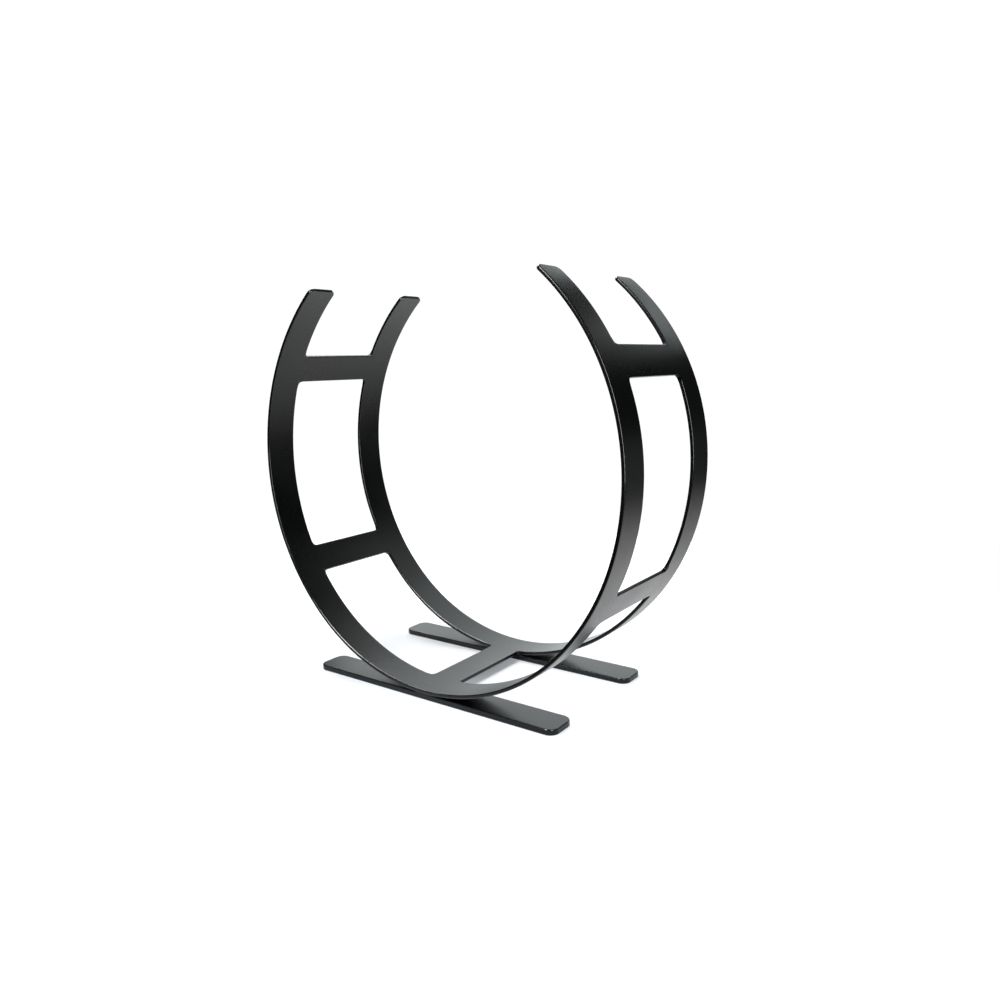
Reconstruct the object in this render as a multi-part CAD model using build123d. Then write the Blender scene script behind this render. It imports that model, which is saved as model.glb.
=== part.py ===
from build123d import *
import os
from math import cos, radians, sin, sqrt

# Round firewood rack, welded from flat steel bar. Millimetres, +Z up.
# Two open hoops stand one behind the other along Y, tied by five cross-bars that are
# rolled to the same curve and lie flush with them. Each hoop is welded to a flat foot.
# The origin is on the floor, in the middle of the rack.

# ---- driving dimensions ----
HOOP_HEIGHT = 762.0      # outside height that the hoop would have if it were closed
HOOP_WIDTH = 734.0       # outside width, a little less than the height
PLATE = 6.35             # thickness of the hoops and the cross-bars
HOOP_BAR = 59.0          # width of the hoops' bar, along Y
DEPTH = 296.0            # outside of the front hoop to outside of the rear hoop
TIP_ANGLE = 139.6        # where the arms end, in degrees from the bottom
TIP_ROUND = 10.0         # corner radius of the arms' ends
RIM_ROUND = 0.8          # softened rims of the bars

SIDE_BAR = 52.5          # width of the side cross-bars, along the curve
BOTTOM_BAR = 58.5        # width of the bottom cross-bar
LOWER_ANGLE = 58.4       # middle of the lower side bars, in degrees from the bottom
UPPER_ANGLE = 113.9      # middle of the upper side bars

SEAM = 2.5               # width of the weld at each end of a cross-bar
CORNER_WELD = 5.0        # how far that weld runs round the inside corners
CORNER_TOE = 0.4         # its thickness where it fades out

FOOT_LENGTH = 500.0
FOOT_PLATE = 9.525       # thickness of the feet
FOOT_ROUND = 16.0        # corner radius of the feet, seen from above
FIT_UP_GAP = 0.4         # between a hoop's lowest point and its foot, closed by the weld
FOOT_WELD_LENGTH = 40.0  # along X, one weld at each edge of the hoop's bar
FOOT_WELD_DEPTH = 7.0    # how far it reaches in under the hoop, along Y

# ---- derived ----
# The outline is an oval of tangent arcs: one radius at the bottom and at the tips, and a
# larger one at the sides. Its angles are those of its normal, from straight down,
# positive towards +X, so the arcs meet where the normal is 45 degrees off the vertical.
BREAK = 45.0
SHIFT = (HOOP_HEIGHT - HOOP_WIDTH) / 2 / (2 - sqrt(2))
END_RADIUS = HOOP_HEIGHT / 2 - SHIFT
SIDE_RADIUS = HOOP_WIDTH / 2 + SHIFT
CENTRE_Z = FOOT_PLATE + FIT_UP_GAP + HOOP_HEIGHT / 2
FRONT = -DEPTH / 2
BAR_FRONT = FRONT + HOOP_BAR


def normal(angle):
    """The outline's outward direction, as (x, z)."""
    return sin(radians(angle)), -cos(radians(angle))


def arc_at(angle):
    """Centre x, centre z and radius of the arc that the outline follows at an angle."""
    if abs(angle) < BREAK:
        return 0.0, CENTRE_Z - SHIFT, END_RADIUS
    if abs(angle) < 180 - BREAK:
        return (-SHIFT if angle > 0 else SHIFT), CENTRE_Z, SIDE_RADIUS
    return 0.0, CENTRE_Z + SHIFT, END_RADIUS


def on_outline(angle, inward=0.0):
    """The point (x, z) at an angle, moved in from the outside of the plate."""
    x, z, radius = arc_at(angle)
    out_x, out_z = normal(angle)
    return x + (radius - inward) * out_x, z + (radius - inward) * out_z


def sweep_of(width, angle):
    """The angle that a width along the outside of the curve takes up."""
    return width / radians(arc_at(angle)[2])


def band(start, end, front, rear):
    """The rolled plate between two angles and two depths."""
    joints = [b for b in (BREAK - 180, -BREAK, BREAK, 180 - BREAK) if start < b < end]
    stops = [start, *joints, end]

    def at(angle, inward):
        x, z = on_outline(angle, inward)
        return Vector(x, front, z)

    edges = [Line(at(angle, 0), at(angle, PLATE)) for angle in (start, end)]
    for inward in (0, PLATE):
        for a, b in zip(stops, stops[1:]):
            edges.append(ThreePointArc(at(a, inward), at((a + b) / 2, inward), at(b, inward)))
    return extrude(Face(Wire(edges)), amount=rear - front, dir=(0, 1, 0))


def hoop(front, free_rim):
    """An open hoop. Its free rim and its tips are softened, not the rim that is welded."""
    body = band(-TIP_ANGLE, TIP_ANGLE, front, front + HOOP_BAR)
    corners = body.edges().filter_by(lambda e: abs(e.length - PLATE) < 0.01)
    body = fillet(corners, TIP_ROUND)
    rim = body.edges().filter_by(lambda e: abs(e.center().Y - free_rim) < 0.01)
    return fillet(rim, RIM_ROUND)


def cross_bar(angle, width):
    """A bar between the hoops, short of each by the weld seam."""
    half = sweep_of(width, angle) / 2
    front, rear = BAR_FRONT + SEAM, -BAR_FRONT - SEAM
    return band(angle - half, angle + half, front, rear)


def bar_weld(angle, width):
    """The seam at the front end of a cross-bar, run out into both inside corners."""
    half = sweep_of(width, angle) / 2
    run = sweep_of(CORNER_WELD, angle)
    seam = band(angle - half, angle + half, BAR_FRONT, BAR_FRONT + SEAM)
    for side in (-1, 1):
        edge = angle + side * half
        far = edge + side * run
        low, high = sorted((edge, far))
        corner = band(low, high, BAR_FRONT, BAR_FRONT + CORNER_WELD)
        x, z = on_outline(far)
        out_x, out_z = normal(far)
        across = Plane(origin=(x, BAR_FRONT + CORNER_WELD, z), z_dir=(out_x, 0, out_z))
        hollow = across * Cylinder(CORNER_WELD - CORNER_TOE, 6 * PLATE)
        seam += corner - hollow
    return seam


def foot(front):
    """A flat foot with rounded corners."""
    middle = Location((0, front + HOOP_BAR / 2, FOOT_PLATE / 2))
    plate = middle * Box(FOOT_LENGTH, HOOP_BAR, FOOT_PLATE)
    plate = fillet(plate.edges().filter_by(Axis.Z), FOOT_ROUND)
    level = plate.edges().filter_by(lambda e: abs(e.center().Z - FOOT_PLATE / 2) > 0.01)
    return fillet(level, RIM_ROUND)


def foot_welds(hoop_body, foot_body, front):
    """The two welds that close the groove between a hoop's edges and its foot."""
    reach = 3 * RIM_ROUND
    edge_middles = (front + FOOT_WELD_DEPTH / 2, front + HOOP_BAR - FOOT_WELD_DEPTH / 2)
    fills = []
    for y in edge_middles:
        blank = Location((0, y, FOOT_PLATE)) * Box(FOOT_WELD_LENGTH, FOOT_WELD_DEPTH, 2 * reach)
        fills.append(blank - hoop_body - foot_body)
    return fills


hoops = {"hoop_front": hoop(FRONT, FRONT), "hoop_rear": hoop(-BAR_FRONT, -FRONT)}
feet = {"foot_front": foot(FRONT), "foot_rear": foot(-BAR_FRONT)}
nodes = {**hoops, **feet}

bar_places = {
    "bottom": (0.0, BOTTOM_BAR),
    "lower_left": (-LOWER_ANGLE, SIDE_BAR),
    "lower_right": (LOWER_ANGLE, SIDE_BAR),
    "upper_left": (-UPPER_ANGLE, SIDE_BAR),
    "upper_right": (UPPER_ANGLE, SIDE_BAR),
}
for place, (angle, width) in bar_places.items():
    nodes["cross_bar_" + place] = cross_bar(angle, width)
    front_seam = bar_weld(angle, width)
    nodes["bar_welds_" + place] = Compound([front_seam, mirror(front_seam, Plane.XZ)])

for end, front in (("front", FRONT), ("rear", -BAR_FRONT)):
    fills = foot_welds(hoops["hoop_" + end], feet["foot_" + end], front)
    nodes["foot_welds_" + end] = Compound(fills)

os.makedirs("parts", exist_ok=True)
for name, shape in nodes.items():
    export_step(shape, f"parts/{name}.step")
    size = shape.bounding_box().size
    print(name, "solids", len(shape.solids()), "size", [round(v, 2) for v in size])
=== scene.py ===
# %% [markdown]
# # A firewood rack of black coated steel, in a bright studio
#
# The rack is a weldment: two open hoops of flat bar, one behind the other, five flat
# cross-bars that are rolled to the same curve, two flat feet, and the welds. Its sizes
# were settled in CAD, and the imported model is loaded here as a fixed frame. Nothing in
# this lesson moves or resizes it. We build a finer skin for each part, in the same
# place, give it a real finish, and then set up light and a camera.

# %% Load the frame
from math import cos, pi, radians, sin, sqrt

import bpy
from mathutils import Matrix, Vector


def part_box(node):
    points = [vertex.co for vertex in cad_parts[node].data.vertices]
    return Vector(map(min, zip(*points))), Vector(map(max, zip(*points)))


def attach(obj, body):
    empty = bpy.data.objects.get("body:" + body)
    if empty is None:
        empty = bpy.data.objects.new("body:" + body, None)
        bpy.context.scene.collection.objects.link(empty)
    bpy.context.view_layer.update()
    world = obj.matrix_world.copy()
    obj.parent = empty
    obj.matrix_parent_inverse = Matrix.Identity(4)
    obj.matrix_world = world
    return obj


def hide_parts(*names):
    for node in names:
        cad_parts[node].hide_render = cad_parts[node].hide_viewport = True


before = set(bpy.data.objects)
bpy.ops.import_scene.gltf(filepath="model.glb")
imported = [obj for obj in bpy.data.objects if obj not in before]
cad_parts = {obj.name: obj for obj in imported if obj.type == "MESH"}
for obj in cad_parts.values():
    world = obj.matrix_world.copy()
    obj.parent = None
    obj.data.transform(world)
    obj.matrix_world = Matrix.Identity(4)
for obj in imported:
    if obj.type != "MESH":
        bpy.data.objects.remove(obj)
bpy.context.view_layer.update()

# %% [markdown]
# ## The oval that everything follows
#
# A closed hoop would be 762 mm high and a little narrower. Its outline is made of arcs
# that meet smoothly: one radius at the bottom and at the arms' ends, and a larger one at
# the sides. The width, the depths and the floor clearance are read from the frame. The
# closed height and the places of the bars along the curve are the maker's numbers, and
# the frame can't give them, so they are written here, in metres and degrees.

# %% Sizes
MM = 0.001
CLOSED_HEIGHT = 762 * MM
TIP_ANGLE = 139.6           # where the arms end, from straight down
TIP_ROUND = 10 * MM
TIP_SHY = 0.2 * MM          # the skin's arms end this much short of the frame's
RIM_ROUND = 1.5 * MM
LOWER_ANGLE, UPPER_ANGLE = 58.4, 113.9
SIDE_BAR, BOTTOM_BAR = 52.5 * MM, 58.5 * MM
PLATE = 6.35 * MM
FOOT_ROUND = 16 * MM
CORNER_WELD, CORNER_TOE = 5 * MM, 0.4 * MM
END_ARC = 45                # an end's arc reaches this far from the vertical
SIDE_ARC = 180 - 2 * END_ARC

hoop_low, hoop_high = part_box("hoop_front")
foot_low, foot_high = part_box("foot_front")
foot_plate = foot_high.z - foot_low.z
bar_inside = -hoop_high.y               # depth at which a hoop's bar ends, inside
bar_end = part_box("cross_bar_bottom")[1].y       # and where a cross-bar ends

half_height, half_width = CLOSED_HEIGHT / 2, hoop_high.x
# Each arc's centre lies this far from the hoop's middle, so that the arcs meet smoothly
# at 45 degrees.
centre_shift = (half_height - half_width) / (2 - sqrt(2))
end_radius = half_height - centre_shift
side_radius = half_width + centre_shift
centre_height = hoop_low.z + half_height


def along(angle):
    """Distance along the outside of the curve, from its lowest point to an angle."""
    size = abs(angle)
    ends = min(size, END_ARC) + max(size - END_ARC - SIDE_ARC, 0)
    sides = min(max(size - END_ARC, 0), SIDE_ARC)
    distance = radians(ends) * end_radius + radians(sides) * side_radius
    return distance if angle > 0 else -distance


tip = along(TIP_ANGLE) - TIP_SHY
radii = [round(end_radius, 4), round(side_radius, 4)]
print("curve:", round(2 * tip, 4), "m from tip to tip, radii", radii)

# %% [markdown]
# ## Arithmetic that builds nodes
#
# Both the shapes and the finishes are made of node trees. Wired by hand, a formula soon
# needs twenty Math nodes. Here a small class wraps an output socket, and the usual signs
# (+, -, *, /) add the Math nodes for us. Every other node comes from `new`, which takes
# the node's type, its settings, and the values or links of its sockets.


# %% Wires
class Wire:
    """An output socket that can be used in a formula."""

    def __init__(self, socket):
        self.socket = socket

    @classmethod
    def new(cls, tree, kind, inputs=None, output=0, **settings):
        """Adds a node: its settings first, then its sockets, by name or by number."""
        node = tree.nodes.new(kind)
        for name, value in settings.items():
            setattr(node, name, value)
        for name, value in (inputs or {}).items():
            if isinstance(value, Wire):
                tree.links.new(value.socket, node.inputs[name])
            else:
                node.inputs[name].default_value = value
        return cls(node.outputs[output])

    def math(self, operation, *values):
        """A Math node in this wire's tree."""
        numbered = dict(enumerate(values))
        return Wire.new(self.socket.id_data, "ShaderNodeMath", numbered, operation=operation)

    def __add__(self, other):
        return self.math("ADD", self, other)

    def __sub__(self, other):
        return self.math("SUBTRACT", self, other)

    def __mul__(self, other):
        return self.math("MULTIPLY", self, other)

    def __truediv__(self, other):
        return self.math("DIVIDE", self, other)

    def __rsub__(self, other):
        return self.math("SUBTRACT", other, self)

    def __rtruediv__(self, other):
        return self.math("DIVIDE", other, self)

    def __neg__(self):
        return self * -1

    def __abs__(self):
        return self.math("ABSOLUTE", self)

    def __gt__(self, other):
        return self.math("GREATER_THAN", self, other)

    def __lt__(self, other):
        return self.math("LESS_THAN", self, other)

    __radd__, __rmul__ = __add__, __mul__

    def floor(self):
        return self.math("FLOOR", self)

    def ceil(self):
        return self.math("CEIL", self)

    def sign(self):
        return self.math("SIGN", self)

    def sin(self):
        return self.math("SINE", self)

    def cos(self):
        return self.math("COSINE", self)

    def at_least(self, other):
        return self.math("MAXIMUM", self, other)

    def at_most(self, other):
        return self.math("MINIMUM", self, other)

    def between(self, low, high):
        return self.at_least(low).at_most(high)

    def ramp(self, start, end, low=0.0, high=1.0):
        """A smooth step from low, at start, to high, at end."""
        tree = self.socket.id_data
        ends = {"Value": self, "From Min": start, "From Max": end, "To Min": low, "To Max": high}
        return Wire.new(tree, "ShaderNodeMapRange", ends, interpolation_type="SMOOTHSTEP")


# %% [markdown]
# ## Rolling
#
# A ring roller bends a flat bar without changing its width. A point that lay a distance
# s along the blank ends up at that distance along the curve. So the node group below
# takes a place on the flat blank (along, depth, height over the outer face) and gives
# the place on the rolled bar. Each bar can then be drawn flat, which is easy, and the
# bending is the same for all of them, so they lie flush. A Simple Deform modifier bends
# to one radius only, and a Curve modifier follows a spline, which only comes near an
# arc. A formula is exact, and it is the same for every piece.


# %% Node groups
def group(name, inputs, outputs):
    """An empty Geometry Nodes group with named sockets. Returns it and its input wires."""
    tree = bpy.data.node_groups.new(name, "GeometryNodeTree")
    new_socket = tree.interface.new_socket
    for label, kind, value in inputs:
        item = new_socket(name=label, in_out="INPUT", socket_type="NodeSocket" + kind)
        if value is not None:
            item.default_value = value
    for label, kind in outputs:
        new_socket(name=label, in_out="OUTPUT", socket_type="NodeSocket" + kind)
    entry = tree.nodes.new("NodeGroupInput")
    return tree, {s.name: Wire(s) for s in entry.outputs if s.name}


def close_group(tree, wire):
    """Ends a group in its one output."""
    leave = tree.nodes.new("NodeGroupOutput")
    tree.links.new(wire.socket, leave.inputs[0])
    return tree


# %% The roll
roll, w = group(
    "Roll round the oval",
    [("Along", "Float", 0.0), ("Depth", "Float", 0.0), ("Height", "Float", 0.0)],
    [("Position", "Vector")],
)
far = abs(w["Along"])
side = w["Along"].sign()
first_break = end_radius * radians(END_ARC)
second_break = first_break + side_radius * radians(SIDE_ARC)
past_first, past_second = far > first_break, far > second_break
on_side = past_first - past_second
turned = (
    far.at_most(first_break) / end_radius
    + (far - first_break).between(0.0, second_break - first_break) / side_radius
    + (far - second_break).at_least(0.0) / end_radius
)
reach = end_radius + (side_radius - end_radius) * on_side - w["Height"]
place = {
    0: side * (reach * turned.sin() - centre_shift * on_side),
    1: w["Depth"],
    2: centre_height + centre_shift * (past_first + past_second - 1) - reach * turned.cos(),
}
close_group(roll, Wire.new(roll, "ShaderNodeCombineXYZ", place))
print("roll group:", len(roll.nodes), "nodes")

# %% [markdown]
# ## A flat bar, as a wrapped grid
#
# A bar with softened rims is one closed skin. Take a sheet of graph paper: its columns
# run along the bar, and its rows are wrapped round the section, over the inner face,
# down one edge, back under the outer face and up the other edge. The last row meets the
# first. At each end the columns follow the rounded corner, step down over the rim and
# fold shut. Every point's place comes from its column and row number, so this is a job
# for Geometry Nodes: one Grid, one formula, and Merge by Distance to close the skin. The
# welds use the same trick later on, so its small helpers come first.
#
# The same group makes the hoops and the feet (rounded ends) and the cross-bars (square
# ends, which disappear in the welds). The rim stays sharp where a bar is welded on, as
# there is no edge to soften there.


# %% Wrapped grids
def numbered(tree, rows):
    """The column and the row of each point of a grid."""
    index = Wire.new(tree, "GeometryNodeInputIndex")
    column = ((index + 0.5) / rows).floor()
    return column, index - column * rows


def way_round(lap):
    """Which way a lap round the section runs: 1 for the even laps, -1 for the odd ones."""
    return 1 - 2 * (lap - 2 * (lap / 2).floor())


def choose(tree, switch, value_off, value_on, kind):
    """One of two values, by a switch."""
    sockets = {"Switch": switch, "False": value_off, "True": value_on}
    return Wire.new(tree, "GeometryNodeSwitch", sockets, input_type=kind)


# %% The flat bar group
RIM_STEPS = 4               # facets over a softened rim
CORNER_STEPS = 10           # over a rounded corner of the outline
MERGE = 0.01 * MM

bar_inputs = [
    ("Start", "Float", 0.0), ("End", "Float", 1.0),
    ("Low side", "Float", 0.0), ("High side", "Float", 0.1),
    ("Thickness", "Float", PLATE), ("Corner round", "Float", 0.0),
    ("Rim round", "Float", RIM_ROUND), ("Rounded ends", "Float", 1.0),
    ("Rolled", "Bool", True), ("Runs across", "Bool", False),
    ("Welded side", "Float", 0.0), ("Column step", "Float", 6 * MM),
    ("Face steps", "Int", 4), ("Material", "Material", None),
]
flat_bar, w = group("Flat bar", bar_inputs, [("Geometry", "Geometry")])
rounded, face_steps = w["Rounded ends"], w["Face steps"]
length, width = w["End"] - w["Start"], w["High side"] - w["Low side"]
corner = w["Corner round"]

half_loop = face_steps + (2 * RIM_STEPS + 1)
rows = half_loop * 2 + 1
end_columns = RIM_STEPS + 1 + CORNER_STEPS
columns = (length / w["Column step"]).ceil() + 2 * end_columns + 1
grid = Wire.new(flat_bar, "GeometryNodeMeshGrid", {"Vertices X": columns, "Vertices Y": rows})
column, row = numbered(flat_bar, rows)
print("flat bar:", len(bar_inputs), "inputs,", RIM_STEPS, "facets over a rim")

# %% Columns: how far along, and how the ends close
last = columns - 1
from_end = column.at_most(last - column)
towards = (column - last / 2).sign()
corner_share = (1 - (from_end - (RIM_STEPS + 1)) / CORNER_STEPS).between(0.0, 1.0)
corner_turn = rounded * corner_share * (pi / 2)
rim_limit = RIM_STEPS - rounded * (RIM_STEPS - (from_end - 1).between(0.0, RIM_STEPS))
share = ((column - end_columns) / (last - 2 * end_columns)).between(0.0, 1.0)
middle = w["Start"] + corner + share * (length - corner * 2)
print("with its columns:", len(flat_bar.nodes), "nodes")

# %% Rows: over the face, round the rims and down the edge
SUPPORT = 1.2               # the rows beside a rim stand this many rim radii in from the edge
lap = (row / half_loop).floor()
way = way_round(lap)
step = row - lap * half_loop
face_step = step.at_most(face_steps)
rim_place = (step - face_steps).between(0.0, 2 * RIM_STEPS + 1) - (RIM_STEPS + 0.5)
upper = -way * rim_place.sign()
ring = (abs(rim_place) - 0.5).at_most(rim_limit)
support = RIM_ROUND * SUPPORT / width
face_share = ((face_step - 1) / (face_steps - 2)).between(0.0, 1.0)
inner_share = support + (1 - 2 * support) * face_share
across = inner_share - support * (face_step < 0.5) + support * (face_step > face_steps - 0.5)
sideways = way * (2 * across - 1)
print("with its rows:", len(flat_bar.nodes), "nodes")

# %% Where the rim is sharp: at the bars that are welded on, and at square ends
SHARP_RUN = 6 * MM          # beside a seam weld the rim softens over this length
SQUARE_LOW, SQUARE_HIGH = 2.5 * MM, 8 * MM      # and between these, from a square end
seam = None
for angle, bar_width in ((0.0, BOTTOM_BAR), (LOWER_ANGLE, SIDE_BAR), (UPPER_ANGLE, SIDE_BAR)):
    off_bar = abs(abs(middle) - abs(along(angle)))
    edge = bar_width / 2 + CORNER_WELD
    here = off_bar.ramp(edge, edge + SHARP_RUN, 1.0, 0.0)
    seam = here if seam is None else seam.at_least(here)
from_square_end = (middle - w["Start"]).at_most(w["End"] - middle)
runs_out = from_square_end.ramp(SQUARE_LOW, SQUARE_HIGH).at_least(rounded)
faces_weld = (w["Welded side"] * sideways).between(0.0, 1.0)
softened = runs_out * (1 - seam * faces_weld)
rim = w["Rim round"] * softened
print("with its rims:", len(flat_bar.nodes), "nodes")

# %% Put every point in its place
tilt = ring * (pi / 2 / RIM_STEPS)
inset = rim * (1 - tilt.cos())
height = w["Thickness"] / 2 - rim * (1 - tilt.sin())
bar_x = middle + towards * (corner - inset) * corner_turn.sin()
bar_y = sideways * (width / 2 - corner + (corner - inset) * corner_turn.cos())
bar_z = w["Thickness"] / 2 + upper * height * (from_end > 0.5)
side_middle = (w["Low side"] + w["High side"]) / 2

# A cross-bar runs across the curve: its length is in depth and its width is along.
lies_along = choose(flat_bar, w["Runs across"], bar_x, side_middle - bar_y, "FLOAT")
lies_deep = choose(flat_bar, w["Runs across"], side_middle + bar_y, bar_x, "FLOAT")
on_blank = {"Along": lies_along, "Depth": lies_deep, "Height": bar_z}
bent = Wire.new(flat_bar, "GeometryNodeGroup", on_blank, node_tree=roll)
straight = Wire.new(flat_bar, "ShaderNodeCombineXYZ", {0: bar_x, 1: side_middle + bar_y, 2: bar_z})
position = choose(flat_bar, w["Rolled"], straight, bent, "VECTOR")
print("with its places:", len(flat_bar.nodes), "nodes")


# %% Close the skin and keep a mark of where the rims are
CREASE = radians(35)        # edges that turn by more than this stay sharp


def finish_skin(tree, mesh, point, material, rim_wear_and_sheen):
    """Places the points, merges doubles, shades it, and ends in the two nodes an export needs."""
    placed = Wire.new(tree, "GeometryNodeSetPosition", {"Geometry": mesh, "Position": point})
    mark = {"Geometry": placed, "Name": "rim", "Value": rim_wear_and_sheen}
    marked = Wire.new(
        tree, "GeometryNodeStoreNamedAttribute", mark, data_type="FLOAT", domain="POINT",
    )
    merged = Wire.new(tree, "GeometryNodeMergeByDistance", {"Geometry": marked, "Distance": MERGE})
    smooth = Wire.new(tree, "GeometryNodeSetShadeSmooth", {0: merged, 2: True}, domain="FACE")
    sharp = Wire.new(tree, "GeometryNodeInputMeshEdgeAngle") > CREASE
    edges = {0: smooth, 1: sharp, 2: False}
    creased = Wire.new(tree, "GeometryNodeSetShadeSmooth", edges, domain="EDGE")
    real = Wire.new(tree, "GeometryNodeRealizeInstances", {"Geometry": creased})
    return Wire.new(tree, "GeometryNodeSetMaterial", {"Geometry": real, "Material": material})


# The mark is 1 in the middle of a softened rim and 0 where it meets the face and the edge.
ring_share = (abs(rim_place) - 0.5) / RIM_STEPS
rim_mark = 4 * ring_share * (1 - ring_share) * softened
close_group(flat_bar, finish_skin(flat_bar, grid, position, w["Material"], rim_mark))
print("flat bar group:", len(flat_bar.nodes), "nodes")

# %% [markdown]
# ## The finish
#
# The steel is powder coated: a satin black plastic skin, baked on. Close up, such a skin
# has a soft orange peel, about a millimetre and a half from crest to crest, and very
# fine specks. A picture of a coated plate would stretch over the rims, so the patterns
# are noise, read at each spot's place in space. The coat is a little thinner over the
# rims, and so smoother and glossier there, which makes the rims catch the lights: the
# mark that the flat bar group stored turns up a second, glossier layer on them. The same
# mark makes the rims' colour greyer, which is partly thinner coat and partly a painted
# sheen. On a weld the skin follows the dressed bead, so the same coat gets a coarser,
# less even surface there. One function makes both finishes.


# %% Colours
def blend(tree, share, first, second):
    """A colour between two colours."""
    colours = {"Factor": share, 6: first, 7: second}
    return Wire.new(tree, "ShaderNodeMix", colours, 2, data_type="RGBA")


# %% Powder coat
DEEP_BLACK = (0.0008, 0.0009, 0.0010, 1)
SOFT_BLACK = (0.0024, 0.0027, 0.0029, 1)
PEEL, SPECKS, CLOUDS = 650.0, 2600.0, 9.0       # how often each pattern repeats in a metre
RELIEF = 0.035 * MM         # how deep the bumps are


def powder_coat(name, unevenness, waves):
    """A satin black coat over steel, with swirls of that height and that many in a metre."""
    material = bpy.data.materials.new(name)
    material.use_nodes = True
    tree = material.node_tree
    tree.nodes.clear()

    def noise(scale, detail=2.0, rough=0.5):
        spread = {"Vector": spot, "Scale": scale, "Detail": detail, "Roughness": rough}
        return Wire.new(tree, "ShaderNodeTexNoise", spread)

    spot = Wire.new(tree, "ShaderNodeTexCoord", output="Object")
    rim_wear_and_sheen = Wire.new(tree, "ShaderNodeAttribute", {}, "Fac", attribute_name="rim")
    peel = noise(PEEL)
    specks = noise(SPECKS, 3.0)
    clouds = noise(CLOUDS, 4.0, 0.6)
    swirls = noise(waves)

    # The rims' colour is a little greyer: partly thinner coat, partly a painted sheen.
    tone = clouds.ramp(0.35, 0.65) * 0.5 + specks.ramp(0.45, 0.75) * 0.35 + rim_wear_and_sheen * 0.4
    colour = blend(tree, tone.between(0.0, 1.0), DEEP_BLACK, SOFT_BLACK)
    roughness = 0.24 + clouds.ramp(0.3, 0.7) * 0.05 + specks * 0.04 - rim_wear_and_sheen * 0.05
    roughness = roughness + swirls * unevenness * 0.05
    relief = peel * 0.6 + specks * 0.12 + swirls * unevenness
    bumps = Wire.new(
        tree, "ShaderNodeBump", {"Strength": 0.28, "Distance": RELIEF, "Height": relief}
    )
    shader = Wire.new(
        tree, "ShaderNodeBsdfPrincipled",
        {
            "Base Color": colour, "Roughness": roughness, "IOR": 1.4, "Normal": bumps,
            "Coat Weight": rim_wear_and_sheen, "Coat IOR": 2.2, "Coat Roughness": 0.15,
        },
    )
    leave = tree.nodes.new("ShaderNodeOutputMaterial")
    tree.links.new(shader.socket, leave.inputs["Surface"])
    print("finish:", name, len(tree.nodes), "nodes")
    return material


coat = powder_coat("powder_coat_black", 0.0, 120.0)
weld_coat = powder_coat("powder_coat_over_weld", 0.8, 260.0)

# %% [markdown]
# ## From tree to plain mesh
#
# A modifier's inputs are set by their identifiers, before the object is evaluated for
# the first time. Then the evaluated result is copied into a plain mesh and the modifier
# is thrown away, so the finished piece is what it looks like and nothing more.


# %% Make a piece
def make(name, tree, sizes, slot, *stands_for):
    """Runs a group with these sizes and turns the result into one finished piece."""
    shell = bpy.data.objects.new(name + "_raw", bpy.data.meshes.new(name + "_raw"))
    bpy.context.scene.collection.objects.link(shell)
    modifier = shell.modifiers.new(tree.name, "NODES")
    modifier.node_group = tree
    for item in tree.interface.items_tree:
        if item.in_out == "INPUT" and item.name in sizes:
            modifier[item.identifier] = sizes[item.name]
    evaluated = shell.evaluated_get(bpy.context.evaluated_depsgraph_get())
    mesh = bpy.data.meshes.new_from_object(evaluated)
    mesh.name = name
    bpy.data.objects.remove(shell)
    piece = bpy.data.objects.new(name, mesh)
    bpy.context.scene.collection.objects.link(piece)
    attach(piece, "root")
    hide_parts(*stands_for)
    print(name, len(mesh.vertices), "points,", len(mesh.polygons), "faces")
    return piece


# %% [markdown]
# ## The hoops, the cross-bars and the feet
#
# Each hoop is one long bar from tip to tip. A cross-bar is drawn across the curve, short
# of the hoops by the width of its welds. A foot isn't rolled at all.

# %% Hoops
for end, welded_side in (("front", 1.0), ("rear", -1.0)):
    low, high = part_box("hoop_" + end)
    sizes = {
        "Start": -tip, "End": tip, "Low side": low.y, "High side": high.y,
        "Corner round": TIP_ROUND, "Welded side": welded_side, "Material": coat,
    }
    make("rolled_hoop_" + end, flat_bar, sizes, "powder_coat", "hoop_" + end)

# %% Cross-bars
bar_places = {
    "bottom": (0.0, BOTTOM_BAR),
    "lower_left": (-LOWER_ANGLE, SIDE_BAR), "lower_right": (LOWER_ANGLE, SIDE_BAR),
    "upper_left": (-UPPER_ANGLE, SIDE_BAR), "upper_right": (UPPER_ANGLE, SIDE_BAR),
}
for name, (angle, bar_width) in bar_places.items():
    here = along(angle)
    sizes = {
        "Start": -bar_end, "End": bar_end,
        "Low side": here - bar_width / 2, "High side": here + bar_width / 2,
        "Rounded ends": 0.0, "Runs across": True,
        "Column step": 3 * MM, "Face steps": 12, "Material": coat,
    }
    make("rolled_bar_" + name, flat_bar, sizes, "powder_coat", "cross_bar_" + name)

# %% Feet
for end in ("front", "rear"):
    low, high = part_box("foot_" + end)
    sizes = {
        "Start": low.x, "End": high.x, "Low side": low.y, "High side": high.y,
        "Thickness": foot_plate, "Corner round": FOOT_ROUND, "Rolled": False, "Material": coat,
    }
    make("flat_foot_" + end, flat_bar, sizes, "powder_coat", "foot_" + end)

# %% [markdown]
# ## The seam welds
#
# Each end of a cross-bar is welded to the hoop and ground flush, and the weld runs out
# in a small hollow fillet in both inside corners. So a weld is a narrow strip along the
# curve that grows wider at its two ends and then tapers off. It is the same wrapped
# grid, with four corners round its section and a width that depends on the column. A
# Boolean would have to cut faces that lie flush, and leaves slivers there.

# %% A section with four corners
LOOP_ROWS = 5               # the four corners, and the first one again


def corner_of(row):
    """For each row of a four-cornered section: above or below, and which side."""
    lap = (row / 2).floor()
    way = way_round(lap)
    return way, way * (2 * (row - 2 * lap) - 1)


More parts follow.
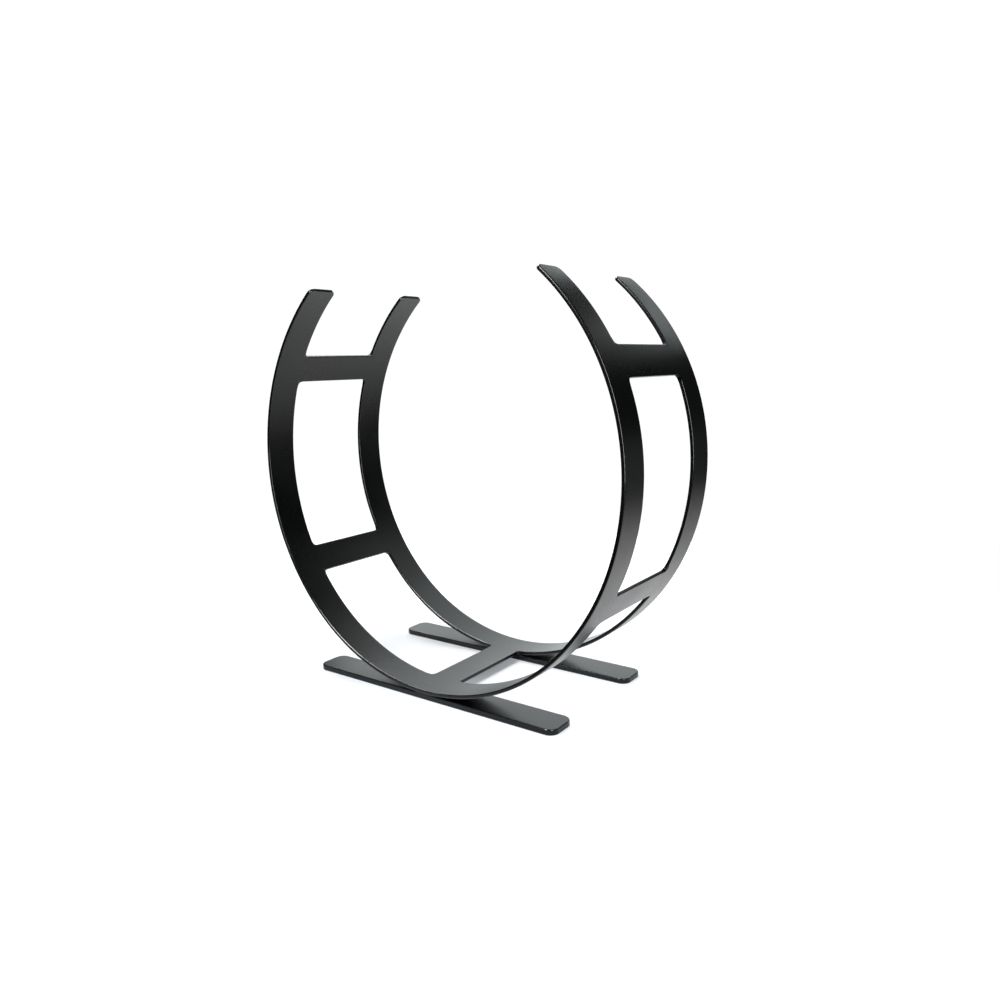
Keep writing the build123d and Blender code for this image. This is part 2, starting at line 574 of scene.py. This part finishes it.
# %% The seam weld group
seam_inputs = [("Start", "Float", 0.0), ("End", "Float", 0.1), ("Material", "Material", None)]
seam_weld, w = group("Seam weld", seam_inputs, [("Geometry", "Geometry")])
SEAM = bar_inside - bar_end
FILLET_STEPS, BODY_STEPS = 8, 12
end_columns = FILLET_STEPS + 3
last = BODY_STEPS + 2 * end_columns
column, row = numbered(seam_weld, LOOP_ROWS)
way, sideways = corner_of(row)
print("seam weld:", last + 1, "columns, seam", round(SEAM / MM, 2), "mm wide")

# %% How far along, how wide and how high each column is
from_end = column.at_most(last - column)
towards = (column - last / 2).sign()
fillet_radius = CORNER_WELD - CORNER_TOE
fillet_turn = ((from_end - 1) / FILLET_STEPS).between(0.0, 1.0) * (pi / 2)
past_toe = (from_end - (FILLET_STEPS + 1)).between(0.0, 1.0)
past_fillet = (from_end - (FILLET_STEPS + 2)).between(0.0, 1.0)
run_out = CORNER_WELD - fillet_radius * fillet_turn.sin() - CORNER_TOE * past_toe
seam_width = CORNER_WELD - fillet_radius * fillet_turn.cos() - (CORNER_WELD - SEAM) * past_fillet
share = ((column - end_columns) / BODY_STEPS).between(0.0, 1.0)
place_along = w["Start"] + share * (w["End"] - w["Start"]) + towards * run_out
height = PLATE / 2 + way * (PLATE / 2) * (from_end > 0.5)
print("with its shape:", len(seam_weld.nodes), "nodes")

# %% One strip at each end of the cross-bar
both = Wire.new(seam_weld, "GeometryNodeJoinGeometry")
for end in (-1, 1):
    counts = {"Vertices X": last + 1, "Vertices Y": LOOP_ROWS}
    grid = Wire.new(seam_weld, "GeometryNodeMeshGrid", counts)
    deep = end * (bar_inside - seam_width / 2) + sideways * seam_width / 2
    on_blank = {"Along": place_along, "Depth": deep, "Height": height}
    bent = Wire.new(seam_weld, "GeometryNodeGroup", on_blank, node_tree=roll)
    placed = Wire.new(seam_weld, "GeometryNodeSetPosition", {"Geometry": grid, "Position": bent})
    seam_weld.links.new(placed.socket, both.socket.node.inputs[0])
stay = Wire.new(seam_weld, "GeometryNodeInputPosition")
close_group(seam_weld, finish_skin(seam_weld, both, stay, w["Material"], 0.0))
print("seam weld group:", len(seam_weld.nodes), "nodes")

# %% Seam welds
for name, (angle, bar_width) in bar_places.items():
    here = along(angle)
    sizes = {"Start": here - bar_width / 2, "End": here + bar_width / 2, "Material": weld_coat}
    make("ground_weld_" + name, seam_weld, sizes, "coated_weld", "bar_welds_" + name)

# %% [markdown]
# ## The welds on the feet
#
# A hoop touches its foot on a line only. Two short welds, one at each edge of the bar,
# fill the narrow wedge beside that line. The bead lies just inside the bar's edge, runs
# a little way up the curve, and draws back at both ends. The wedge's own shape runs out
# in razor edges, so the bead is drawn a little taller than the wedge, and its top and
# bottom disappear in the hoop and the foot.

# %% The foot weld group
foot_inputs = [
    ("Half length", "Float", 0.02),
    ("Low side", "Float", 0.0), ("High side", "Float", 0.1),
    ("Foot top", "Float", foot_high.z), ("Reach in", "Float", 7 * MM),
    ("Material", "Material", None),
]
foot_weld, w = group("Foot weld", foot_inputs, [("Geometry", "Geometry")])
BEAD_COLUMNS = 33
BEAD_INSET, BEAD_DRAW = 0.15 * MM, 1.5 * MM     # in from the bar's edge, and more at its ends
column, row = numbered(foot_weld, LOOP_ROWS)
way, sideways = corner_of(row)
from_end = column.at_most(BEAD_COLUMNS - 1 - column)
share = ((column - 1) / (BEAD_COLUMNS - 3)).between(0.0, 1.0) * 2 - 1
bead_x = share * w["Half length"]
under_hoop = hoop_low.z + bead_x * bead_x / (2 * end_radius)
draws_back = BEAD_INSET + abs(share).ramp(0.7, 1.0, 0.0, BEAD_DRAW)
middle_z = (w["Foot top"] + under_hoop) / 2
half_tall = (under_hoop - w["Foot top"]) / 2 + RIM_ROUND
print("foot weld:", BEAD_COLUMNS, "columns,", len(foot_weld.nodes), "nodes so far")

# %% One bead at each edge of the hoop's bar
both = Wire.new(foot_weld, "GeometryNodeJoinGeometry")
for end in (-1, 1):
    counts = {"Vertices X": BEAD_COLUMNS, "Vertices Y": LOOP_ROWS}
    grid = Wire.new(foot_weld, "GeometryNodeMeshGrid", counts)
    edge = w["Low side"] if end < 0 else w["High side"]
    outer, inner = edge - end * draws_back, edge - end * w["Reach in"]
    deep = (outer + inner) / 2 + sideways * end * (outer - inner) / 2
    at = {0: bead_x, 1: deep, 2: middle_z + way * half_tall * (from_end > 0.5)}
    point = Wire.new(foot_weld, "ShaderNodeCombineXYZ", at)
    placed = Wire.new(foot_weld, "GeometryNodeSetPosition", {"Geometry": grid, "Position": point})
    foot_weld.links.new(placed.socket, both.socket.node.inputs[0])
stay = Wire.new(foot_weld, "GeometryNodeInputPosition")
close_group(foot_weld, finish_skin(foot_weld, both, stay, w["Material"], 0.0))
print("foot weld group:", len(foot_weld.nodes), "nodes")

# %% Foot welds
for end in ("front", "rear"):
    low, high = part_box("hoop_" + end)
    sizes = {"Low side": low.y, "High side": high.y, "Half length": 20 * MM, "Material": weld_coat}
    make("foot_weld_beads_" + end, foot_weld, sizes, "coated_weld", "foot_welds_" + end)

# %% [markdown]
# ## Studio
#
# The rack stands on a white sweep that is lit until it is brighter than white, so the
# picture's ground is pure white and only a faint shadow stays beside the feet. Black
# satin metal shows little of its own colour: it shows what it mirrors. Its lower faces
# mirror the floor, so the floor glows by itself: little and bluish under the rack, and
# more further out, the most towards the right and the front, which the bands on the
# right mirror. The dim bluish glow under the rack and beside the feet is painted shade,
# so the faint shadows of the lamps show there. The floor fades out all round, as it
# would otherwise end in a line.

# %% Floor
FLOOR_RADIUS = 2.4
FLOOR_DROP = 0.3 * MM       # the floor lies this far under the feet
FLOOR_SIDES = 72
floor_mesh = bpy.data.meshes.new("studio_floor")
floor_turns = [2 * pi * side / FLOOR_SIDES for side in range(FLOOR_SIDES)]
ring_points = [
    (FLOOR_RADIUS * cos(turn), FLOOR_RADIUS * sin(turn), -FLOOR_DROP) for turn in floor_turns
]
floor_mesh.from_pydata(ring_points, [], [list(range(FLOOR_SIDES))])
floor = bpy.data.objects.new("studio_floor", floor_mesh)
bpy.context.scene.collection.objects.link(floor)
print("floor:", FLOOR_RADIUS, "m")

# %% The floor's paper
PAPER = (0.8, 0.8, 0.8, 1)
# Painted shade: the dim bluish glow under the rack and beside the feet.
PAINTED_SHADE_GLOW, OPEN_GLOW = (0.3, 0.33, 0.37, 1), (0.75, 0.75, 0.75, 1)
FADE_FROM, FADE_END, FADE_LENGTH = (-0.25, 0.45, 0.0), 1.8, 1.45    # round this spot
FRONT_END, FRONT_START = -0.42, -0.17           # and in front of the rack

paper = bpy.data.materials.new("white_sweep")
paper.use_nodes = True
tree = paper.node_tree
tree.nodes.clear()
spot = Wire.new(tree, "ShaderNodeTexCoord", output="Object")
across = Wire.new(tree, "ShaderNodeSeparateXYZ", {0: spot}, "X")
depth = Wire.new(tree, "ShaderNodeSeparateXYZ", {0: spot}, "Y")
near = Wire.new(tree, "ShaderNodeVectorMath", {0: spot}, "Value", operation="LENGTH")
ends = {0: spot, 1: FADE_FROM}
away = Wire.new(tree, "ShaderNodeVectorMath", ends, "Value", operation="DISTANCE")
shown = ((FADE_END - away) / FADE_LENGTH).between(0.0, 1.0) * depth.ramp(FRONT_END, FRONT_START)

# Painted shade: the glow is dimmer and bluish near the feet, and drops to 0.3 under the middle of
# the rack.
glow = blend(tree, near.ramp(0.22, 0.55), PAINTED_SHADE_GLOW, OPEN_GLOW)
painted_shade_under_rack = near.ramp(0.0, 0.2) * 0.7 + 0.3
to_the_right = (across - depth).ramp(-0.25, 0.15) * 0.95 + 0.65
scaled = {0: glow, "Scale": painted_shade_under_rack * to_the_right}
lit = Wire.new(tree, "ShaderNodeVectorMath", scaled, operation="SCALE")
shader = Wire.new(
    tree, "ShaderNodeBsdfPrincipled",
    {
        "Base Color": PAPER, "Roughness": 0.9, "Specular IOR Level": 0.0,
        "Emission Color": lit, "Emission Strength": 1.0, "Alpha": shown,
    },
)
leave = tree.nodes.new("ShaderNodeOutputMaterial")
tree.links.new(shader.socket, leave.inputs["Surface"])
floor_mesh.materials.append(paper)
print("paper:", len(tree.nodes), "nodes")

# %% [markdown]
# ## Light
#
# The eye sees a white room and the metal sees a dark one, with a few soft panels in it.
# The wide one behind, on the left, is what the inner faces at the upper left mirror, and
# two small cards behind, on the right, do the same for the right arms and bands. The one
# above lights the sweep, the feet and the inner faces at the bottom. The one in front
# draws the bright line along the near hoop's rims, and the one at the right lights the
# bands' outer faces.

# %% World: white to the eye, dim to the metal
world = bpy.data.worlds.new("studio")
bpy.context.scene.world = world
world.use_nodes = True
tree = world.node_tree
tree.nodes.clear()
seen = Wire.new(tree, "ShaderNodeLightPath", {}, "Is Camera Ray")
dark_room, white_room = (0.032, 0.034, 0.036, 1), (1, 1, 1, 1)
dim = Wire.new(tree, "ShaderNodeBackground", {"Color": dark_room, "Strength": 1.0})
white = Wire.new(tree, "ShaderNodeBackground", {"Color": white_room, "Strength": 1.05})
mixed = Wire.new(tree, "ShaderNodeMixShader", {0: seen, 1: dim, 2: white})
leave = tree.nodes.new("ShaderNodeOutputWorld")
tree.links.new(mixed.socket, leave.inputs["Surface"])
print("world:", len(tree.nodes), "nodes")


# %% Lights
def panel(name, middle, towards, size, radiance, tint=(1, 1, 1)):
    """A soft rectangular light that the camera doesn't see. Its brightness sets its power."""
    light = bpy.data.lights.new(name, "AREA")
    light.shape = "RECTANGLE"
    light.size, light.size_y = size
    light.energy = radiance * pi * size[0] * size[1]
    light.color = tint
    lamp = bpy.data.objects.new(name, light)
    lamp.location = middle
    lamp.rotation_euler = (Vector(middle) - Vector(towards)).to_track_quat("Z", "Y").to_euler()
    lamp.visible_camera = False
    bpy.context.scene.collection.objects.link(lamp)
    print("light:", name, round(light.energy, 1), "W")
    return lamp


COOL = (0.93, 1.0, 1.0)
panel("back_panel", (-0.82, 1.2, 0.7), (-0.82, 0.0, 0.7), (1.74, 1.64), 1.62, COOL)
panel("side_card", (0.32, 1.2, 1.06), (0.32, 0.0, 1.06), (0.58, 0.32), 1.0, COOL)
panel("low_card", (1.2, 1.25, 0.28), (1.2, 0.0, 0.28), (0.5, 0.4), 0.25, COOL)
panel("top_panel", (-0.9, 0.5, 1.9), (0.0, 0.0, 0.0), (1.2, 1.2), 8.0)
panel("front_panel", (-0.38, -1.87, 1.72), (-0.19, -0.15, 0.06), (0.65, 1.2), 16.0)
panel("side_panel", (1.9, -1.35, 0.95), (0.3, 0.0, 0.5), (0.6, 1.9), 5.0)

# %% [markdown]
# ## Camera
#
# A short lens stands near the rack, a little above its middle, and looks at it from the
# front right. A small shift of the lens then places the rack in the frame, so the camera
# itself doesn't have to turn away from the middle of the hoops.

# %% Camera
AZIMUTH, ELEVATION, ROLL = 37.088, 6.32, -1.3558
DISTANCE = 1.4259
LENS, SENSOR = 29.45, 36
SHIFT_X, SHIFT_Y = 0.02816, -0.04468
a, e, r = radians(AZIMUTH), radians(ELEVATION), radians(ROLL)
back = Vector((sin(a) * cos(e), -cos(a) * cos(e), sin(e)))
level = Vector((cos(a), sin(a), 0))
upright = back.cross(level)
right = level * cos(r) + upright * sin(r)
up = upright * cos(r) - level * sin(r)
camera_data = bpy.data.cameras.new("camera")
camera_data.lens, camera_data.sensor_width = LENS, SENSOR
camera_data.shift_x, camera_data.shift_y = SHIFT_X, SHIFT_Y
camera = bpy.data.objects.new("camera", camera_data)
bpy.context.scene.collection.objects.link(camera)
eye = Vector((0, 0, centre_height)) + back * DISTANCE
camera.matrix_world = Matrix.Translation(eye) @ Matrix((right, up, back)).transposed().to_4x4()
bpy.context.scene.camera = camera
bpy.context.scene.view_settings.view_transform = "Standard"
print("camera at", [round(v, 3) for v in eye])
